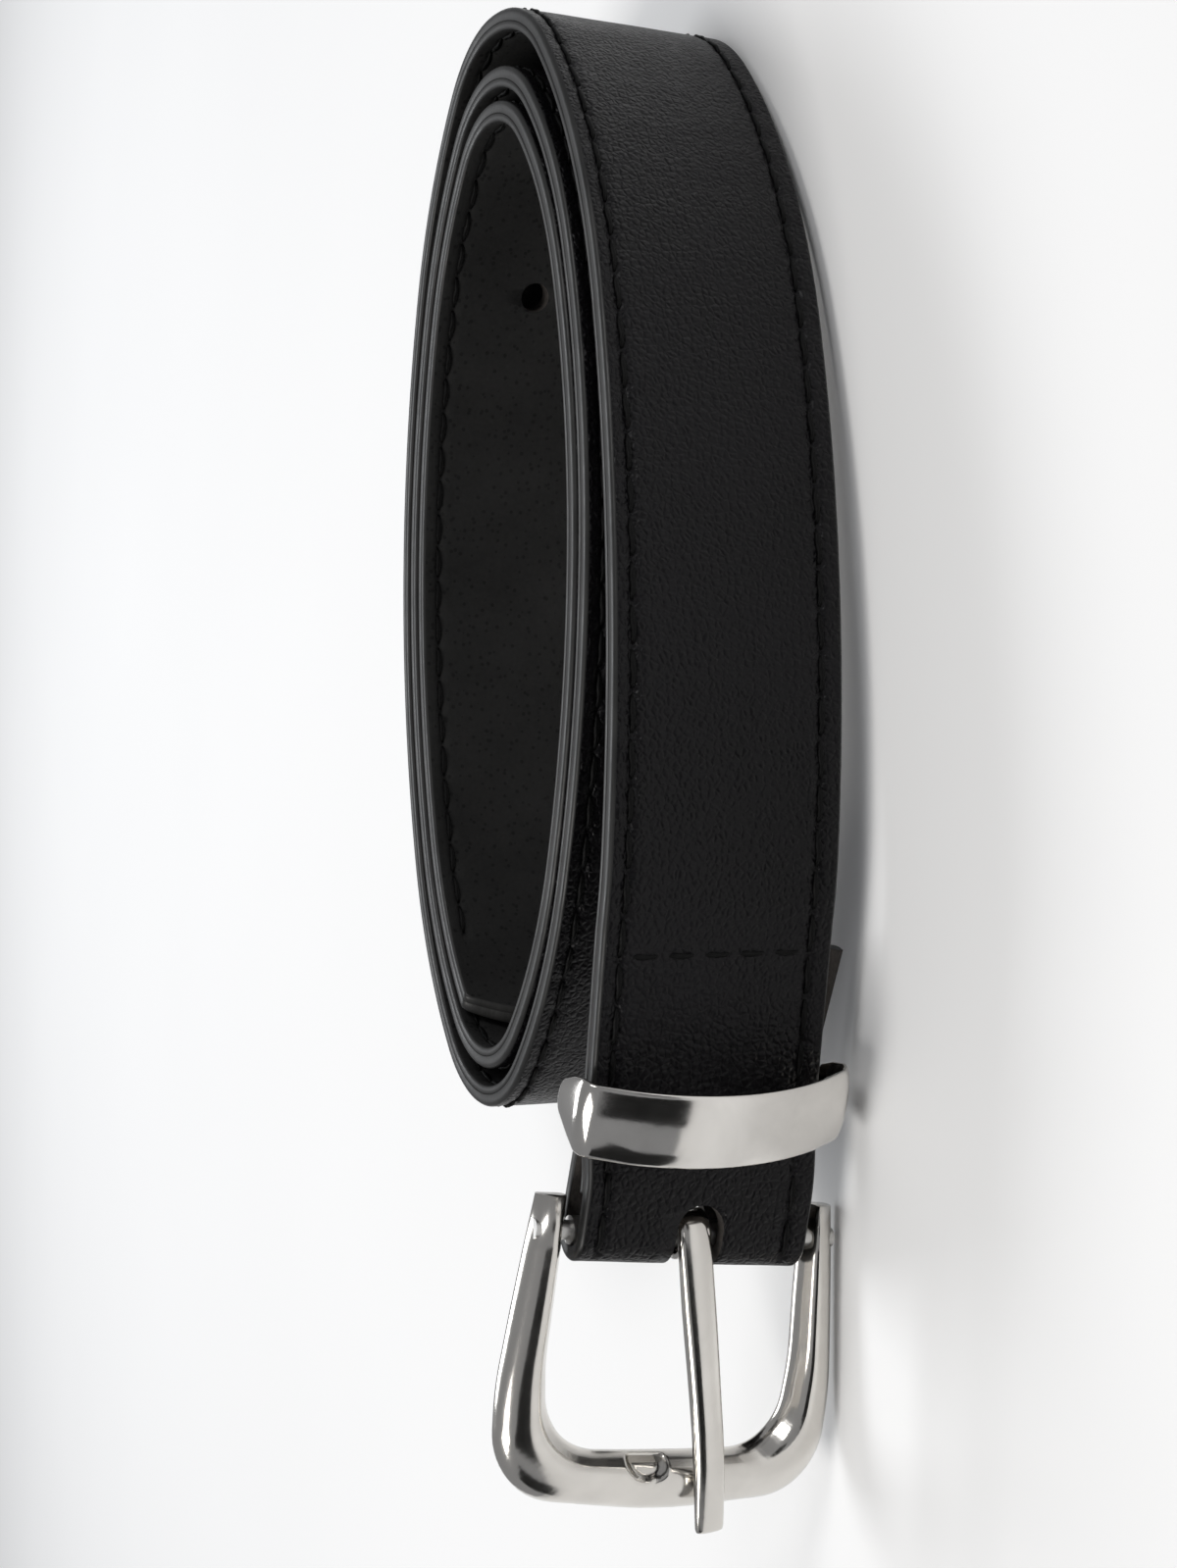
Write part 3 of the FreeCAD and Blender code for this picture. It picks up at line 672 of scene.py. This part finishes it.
def plated_material(name, tint, low_rough, high_rough):
    """Nickel plate: soft waviness, faint hairline marks and handling smudges."""
    n = Nodes(name)
    vector = n.scaled(1000.0)
    smudge = n.noise(vector, 0.11, 4.0, 0.6, 0.4)
    hair = n.noise(n.scaled((5200.0, 5200.0, 260.0)), 1.0, 3.0, 0.5)
    wave = n.noise(vector, 0.16, 2.0, 0.5)
    pits = n.math("LESS_THAN", n.cells(vector, 0.42), 0.045)
    colour = n.ramp(smudge, [(0.3, grey(0.7, tint)), (0.75, grey(0.58, tint))])
    n.link(colour, n.shader.inputs["Base Color"])
    mixed = n.math("ADD", n.math("MULTIPLY", smudge, 0.7), n.math("MULTIPLY", hair, 0.3))
    n.link(n.ramp(mixed, [(0.3, grey(low_rough)), (0.75, grey(high_rough))]), n.shader.inputs["Roughness"])
    broad = n.bump(wave, 0.1, 0.0006)
    relief = n.math("SUBTRACT", n.math("MULTIPLY", hair, 0.3), n.math("MULTIPLY", pits, 0.6))
    n.link(n.bump(relief, 0.08, 0.00008, broad), n.shader.inputs["Normal"])
    n.set(Metallic=1.0)
    return n.material


def card_material():
    """Dull black card, seen only as a reflection in the metal."""
    n = Nodes("card_look")
    cloud = n.noise(n.scaled(8.0), 1.0, 2.0, 0.5)
    n.link(n.ramp(cloud, [(0.2, grey(0.01)), (0.8, grey(0.03))]), n.shader.inputs["Base Color"])
    n.set(Roughness=0.9, Specular_IOR_Level=0.1)
    return n.material


def floor_material():
    n = Nodes("floor_look")
    cloud = n.noise(n.scaled(6.0), 1.0, 2.0, 0.5)
    n.link(n.ramp(cloud, [(0.2, grey(0.86)), (0.8, grey(0.88))]), n.shader.inputs["Base Color"])
    n.set(Roughness=0.75)
    return n.material


# ---------------------------------------------------------------- pieces

def build_strap(face, lining, edge, raw):
    """The outer leather with its core, and the lining, each punched and on the strap's body."""
    outer = sweep("strap_face", 0.0, TOTAL, face_ring, 0.0, WRAP_THICK, [face, edge, raw])
    punch(outer, hole_cutters() + [slot_cutter()], raw)
    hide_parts("face_leather", "reinforcement_core")

    start = WRAP_END + LEAN_FROM
    inner = sweep("strap_lining", start, TOTAL - 0.05, lining_ring, WRAP_THICK, THICK - WRAP_THICK,
                  [lining, edge, raw])
    punch(inner, hole_cutters(), raw)
    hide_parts("lining_leather")
    for piece in (outer, inner):
        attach(piece, "strap")


def build_thread(material):
    rows = {"upper_face_stitching": edge_row(True, True), "lower_face_stitching": edge_row(False, True),
            "upper_lining_stitching": edge_row(True, False), "lower_lining_stitching": edge_row(False, False),
            "cross_stitching": upright_places(WRAP_END + TAB_END - CROSS_MARGIN),
            "tab_stitching": tab_places()}
    for node, places in rows.items():
        piece = thread_piece(node.replace("stitching", "thread"), places, material)
        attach(piece, "strap")
        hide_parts(node)


def loft(name, rings, material, closed):
    """Smooth mesh through rings of points in millimetres; an open one is capped at both ends."""
    size, count = len(rings[0]), len(rings)
    verts = [tuple(np.asarray(point) * MM) for ring in rings for point in ring]
    faces = []
    for i in range(count if closed else count - 1):
        k = (i + 1) % count
        faces += [(i * size + j, i * size + (j + 1) % size, k * size + (j + 1) % size, k * size + j)
                  for j in range(size)]
    if not closed:
        faces += [tuple(range(size)), tuple((count - 1) * size + j for j in range(size))[::-1]]
    piece = join_meshes(name, [(verts, faces)])
    piece.data.materials.append(material)
    for polygon in piece.data.polygons:
        polygon.use_smooth = True
    return piece


def rounded_path(corners, steps):
    """Points along an open path through corners (x, z, radius), with the same count on every bend."""
    points = [np.array(corners[0][:2])]
    for before, here, after in zip(corners, corners[1:], corners[2:]):
        place = np.array(here[:2])
        to_before, to_after = np.array(before[:2]) - place, np.array(after[:2]) - place
        to_before, to_after = to_before / np.linalg.norm(to_before), to_after / np.linalg.norm(to_after)
        half = math.acos(np.clip(to_before @ to_after, -1, 1)) / 2
        bisector = to_before + to_after
        centre = place + bisector / np.linalg.norm(bisector) * here[2] / math.sin(half)
        first = place + to_before * here[2] / math.tan(half) - centre
        last = place + to_after * here[2] / math.tan(half) - centre
        sweep_angle = math.atan2(first[0] * last[1] - first[1] * last[0], first @ last)
        for step in range(steps + 1):
            angle = sweep_angle * step / steps
            cos, sin = math.cos(angle), math.sin(angle)
            points.append(centre + np.array([first[0] * cos - first[1] * sin,
                                             first[0] * sin + first[1] * cos]))
    points.append(np.array(corners[-1][:2]))
    return points


def denser(points, parts):
    """The same path with each stretch between points cut into equal parts."""
    out = []
    for a, b in zip(points, points[1:]):
        out += [a + (b - a) * part / parts for part in range(parts)]
    return out + [points[-1]]


def mirrored_path(corners):
    """The corners given, then their mirror images; the last one lies in the middle, at z = 0."""
    return corners + [(x, -z, radius) for x, z, radius in reversed(corners[:-1])]


def at_bar(x, y, z):
    """A point given from the bar's middle: x towards the toe, y out of the face, z up the bar."""
    return leaned((bar_centre[0] - x, bar_centre[1] - y, BUCKLE_LEVEL + z))


def build_frame(material):
    """Cast frame: domed outer slope, a crest near the opening, and a steep inner side."""
    outer = rounded_path(mirrored_path([(-LEG_TOP, LEG_HALF, 0), (19.0, FRAME_HALF, 40.0),
                                        (FRAME_LENGTH - 2.0, FRAME_HALF - 0.7, 9.0),
                                        (FRAME_LENGTH, 0.0, 60.0)]), 14)
    inner = rounded_path(mirrored_path([(-LEG_TOP, INNER_TOP_HALF, 0), (15.0, INNER_HALF, 30.0),
                                        (INNER_LENGTH, INNER_TOE_HALF, 7.5),
                                        (INNER_LENGTH + INNER_BOW, 0.0, 350.0)]), 14)
    profile = [(0.0, -0.9), (0.05, 0.1), (0.14, 0.95), (0.28, 1.6), (0.44, 2.02), (0.58, 2.2),
               (0.68, 2.14), (0.77, 1.75), (0.85, 1.05), (0.93, 0.35), (0.99, -0.5), (1.0, -1.2),
               (0.95, -1.9), (0.85, -2.2), (0.5, -2.2), (0.15, -2.2), (0.05, -1.9), (0.0, -1.4)]
    profile = denser([np.array(point) for point in profile], 2)
    stations = list(zip(denser(outer, 3), denser(inner, 3)))
    rings = []
    for number, (far, near) in enumerate(stations):
        from_end = min(number, len(stations) - 1 - number)
        shrink = (0.84, 0.93, 0.98)[from_end] if from_end < 3 else 1.0
        middle = (far + near) / 2
        ring = []
        for share, rise in profile:
            spot = far + (near - far) * share
            spot = middle + (spot - middle) * shrink
            dent = 0.0
            if rise > 0 and spot[0] > 22.0:
                gap = math.hypot((spot[0] - REST_FROM_BAR) / 2.2, (spot[1] - REST_LEVEL) / 2.9)
                dent = REST_DEPTH * (1.0 - smooth(gap, 0.62, 1.0))
            ring.append(at_bar(spot[0], rise * shrink - dent, spot[1]))
        rings.append(ring)
    return loft("frame_cast", rings, material, False)


def superellipse(half_wide, half_thick, count, power=0.6):
    ring = []
    for step in range(count):
        angle = 2 * math.pi * step / count
        cos, sin = math.cos(angle), math.sin(angle)
        ring.append((math.copysign(abs(cos) ** power, cos) * half_wide,
                     math.copysign(abs(sin) ** power, sin) * half_thick))
    return ring


def build_tongue(material):
    """Tongue: an eye round the bar and a finger-like shank, set down on the frame's toe."""
    skew = math.radians(TONGUE_SKEW)

    def place(x, y, z):
        return at_bar(x * math.cos(skew) + z * math.sin(skew), y, z * math.cos(skew) - x * math.sin(skew))

    # each section: distance from the bar, height of its middle, half thickness, half width
    stations = [(-2.9, 0.9, 0.3, 0.8), (-2.75, 1.2, 0.6, 1.35), (-2.2, 1.5, 1.0, 1.75),
                (-1.2, 1.9, 1.15, 2.0), (0.5, 2.25, 1.1, 2.12), (3.0, 2.45, 1.2, 2.15),
                (6.0, 2.6, 1.3, 2.15), (8.5, 2.75, 1.35, 2.15), (11.0, 2.95, 1.38, 2.12),
                (15.0, 3.25, 1.36, 2.05), (19.0, 3.5, 1.34, 1.98), (23.0, 3.72, 1.3, 1.95),
                (27.0, 3.75, 1.25, 1.92), (30.0, 3.55, 1.1, 1.9), (33.0, 3.3, 0.88, 1.86),
                (34.7, 3.15, 0.74, 1.82), (35.1, 3.1, 0.64, 1.7), (35.2, 3.08, 0.5, 1.5)]
    rings = [[place(x, y + b, a) for a, b in superellipse(wide, thick, 28, 0.8)]
             for x, y, thick, wide in stations]
    shank = loft("tongue_finger", rings, material, False)
    turns = []
    for step in range(48):
        angle = 2 * math.pi * step / 48
        ring = []
        for a, b in superellipse(TONGUE_WIDTH / 2 - 0.03, 0.5, 12, 0.4):
            radius = 2.55 + 0.8 * b
            ring.append(place(radius * math.cos(angle), radius * math.sin(angle), a))
        turns.append(ring)
    eye = loft("tongue_eye", turns, material, True)
    modifier = shank.modifiers.new("eye", "BOOLEAN")
    modifier.object, modifier.operation, modifier.solver = eye, "UNION", "EXACT"
    apply_modifiers(shank)
    bpy.data.objects.remove(eye)
    for polygon in shank.data.polygons:
        polygon.use_smooth = True
    return shank


def build_keeper(material):
    """Arched band with a domed front; its sides narrow to the wire between strap and tab."""
    wall, low, high = KEEPER_WALL, KEEPER_LOW - KEEPER_WALL / 2, KEEPER_HIGH + KEEPER_WALL / 2
    middle = (low + high) / 2
    rise, shoulder = KEEPER_ARCH + KEEPER_WALL / 2, KEEPER_SHOULDER + KEEPER_WALL / 2
    half = (high - low) / 2
    radius = (half ** 2 + (rise - shoulder) ** 2) / (2 * (rise - shoulder))
    reach = math.asin(half / radius)
    front = []
    for step in range(-20, 21):
        angle = reach * step / 20
        front.append((-(rise - radius + radius * math.cos(angle)), middle + radius * math.sin(angle)))
    path = rounded_path([(0.0, middle, 0), (0.0, high, 0.9), (-shoulder - 0.1, high, 2.4)]
                        + [(front[-6][0], front[-6][1], 0)], 8)
    upper = denser(path[:-1], 2)
    lower = [np.array([y, 2 * middle - z]) for y, z in upper][::-1]
    arc = [np.array(point) for point in front[6:-6]][::-1]
    points = upper + arc + lower[:-1]
    turn = math.radians(RUN_HEADING - KEEPER_TILT)
    base = run_start + along * KEEPER_PLACE + inward * (THICK + KEEPER_WIRE + 0.07)
    rings, count = [], len(points)
    for index, (y, z) in enumerate(points):
        tangent = points[(index + 1) % count] - points[index - 1]
        tangent = tangent / np.linalg.norm(tangent)
        out = np.array([tangent[1], -tangent[0]])
        if (y - -3.0) * out[0] + (z - middle) * out[1] < 0:
            out = -out
        share = 1.0 - smooth(half - abs(z - middle), 0.0, 0.65) if y > -1.0 else 1.0
        side_half = KEEPER_HEEL + (KEEPER_BAND / 2 - KEEPER_HEEL) * smooth(-y, 0.0, 5.0)
        half_band = KEEPER_WIRE + (side_half - KEEPER_WIRE) * share
        half_wall = KEEPER_WIRE + (wall / 2 - KEEPER_WIRE) * share
        ring = []
        for a, b in superellipse(half_band, half_wall, 32, 1.0 - 0.5 * share):
            crown = 0.45 * share * (1 - (a / half_band) ** 2) if b > 0 else 0.0
            spot = np.array([y, z]) + out * (b * (1 - 0.3 * share) + crown - 0.1 * share)
            x = a * math.cos(turn) - spot[0] * math.sin(turn)
            ring.append((base[0] + x, base[1] + a * math.sin(turn) + spot[0] * math.cos(turn), spot[1]))
        rings.append(ring)
    return loft("keeper_band", rings, material, True)


def place_metal(piece, body, node):
    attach(piece, body)
    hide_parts(node)


def give_material(node, material):
    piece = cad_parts[node]
    piece.data.materials.clear()
    piece.data.materials.append(material)


def stage_plane(name, size, place, material):
    bpy.ops.mesh.primitive_plane_add(size=size, location=place)
    plane = bpy.context.object
    plane.name = name
    plane.data.materials.append(material)
    return plane


def area_light(name, place, target, size, power, colour=(1, 1, 1)):
    data = bpy.data.lights.new(name, "AREA")
    data.shape, data.size, data.size_y, data.energy, data.color = "RECTANGLE", size[0], size[1], power, colour
    lamp = bpy.data.objects.new(name, data)
    lamp.location = place
    lamp.rotation_euler = (Vector(target) - Vector(place)).to_track_quat("-Z", "Y").to_euler()
    bpy.context.collection.objects.link(lamp)


def build_camera():
    """Seen from close in front and above; turned on its side, so that down is to the right."""
    data = bpy.data.cameras.new("camera")
    data.lens, data.sensor_width, data.sensor_fit = 46.9, 36.0, "AUTO"
    data.clip_start, data.clip_end = 0.01, 20.0
    camera = bpy.data.objects.new("camera", data)
    elevation, roll = math.radians(22.66), math.radians(0.19)
    forward = Vector((0, math.cos(elevation), -math.sin(elevation)))
    down, ahead = Vector((0, -math.sin(elevation), -math.cos(elevation))), Vector((1, 0, 0))
    right = down * math.cos(roll) + ahead * math.sin(roll)
    up = ahead * math.cos(roll) - down * math.sin(roll)
    turn = Matrix((right, up, -forward)).transposed().to_4x4()
    coil_middle = Vector((far_end[0] - TOP[0], far_end[1], 0)) * MM
    camera.matrix_world = Matrix.Translation(coil_middle + Vector((-0.031, -0.2703, 0.1267))) @ turn
    bpy.context.collection.objects.link(camera)
    bpy.context.scene.camera = camera


def build_light():
    world = bpy.data.worlds.new("studio")
    world.use_nodes = True
    world.node_tree.nodes["Background"].inputs[0].default_value = (0.96, 0.97, 1.0, 1.0)
    world.node_tree.nodes["Background"].inputs[1].default_value = 0.3
    bpy.context.scene.world = world
    area_light("key", (-0.5, -0.3, 1.0), (0, 0, 0.02), (0.5, 0.5), 6.5, (1.0, 0.98, 0.95))
    area_light("fill", (0.7, -0.45, 0.75), (0, 0, 0.02), (0.35, 0.35), 3.0)
    area_light("back", (0.1, 0.8, 0.8), (0, 0, 0.02), (0.8, 0.4), 5.5, (0.96, 0.98, 1.0))
    dark = card_material()
    for name, size, place, target in (
            ("card_front", 0.34, (-0.22, -0.5, 0.16), (-0.06, -0.04, 0.02)),
            ("card_low", 0.2, (-0.42, -0.16, 0.1), (-0.08, -0.03, 0.02)),
            ("card_side", 0.16, (0.2, -0.42, 0.06), (-0.04, -0.04, 0.02))):
        card = stage_plane(name, size, place, dark)
        card.rotation_euler = (Vector(target) - Vector(place)).to_track_quat("Z", "Y").to_euler()
    bpy.context.scene.view_settings.view_transform = "Standard"


build_camera()
build_light()
leather, lining, edge = face_leather_material(), lining_material(), edge_paint_material()
raw, thread = raw_leather_material(), thread_material()
build_strap(leather, lining, edge, raw)
build_thread(thread)
nickel = plated_material("buckle_nickel_look", (1.0, 0.965, 0.91), 0.1, 0.24)
polished = plated_material("keeper_nickel_look", (1.0, 0.97, 0.925), 0.06, 0.17)
steel = plated_material("bar_steel_look", (0.8, 0.79, 0.77), 0.25, 0.4)
place_metal(build_frame(nickel), "buckle", "buckle_frame")
place_metal(build_tongue(nickel), "tongue", "buckle_tongue")
place_metal(build_keeper(polished), "keeper", "keeper_loop")
give_material("buckle_bar", steel)
stage_plane("floor", 8.0, (0, 0, -0.0002), floor_material())
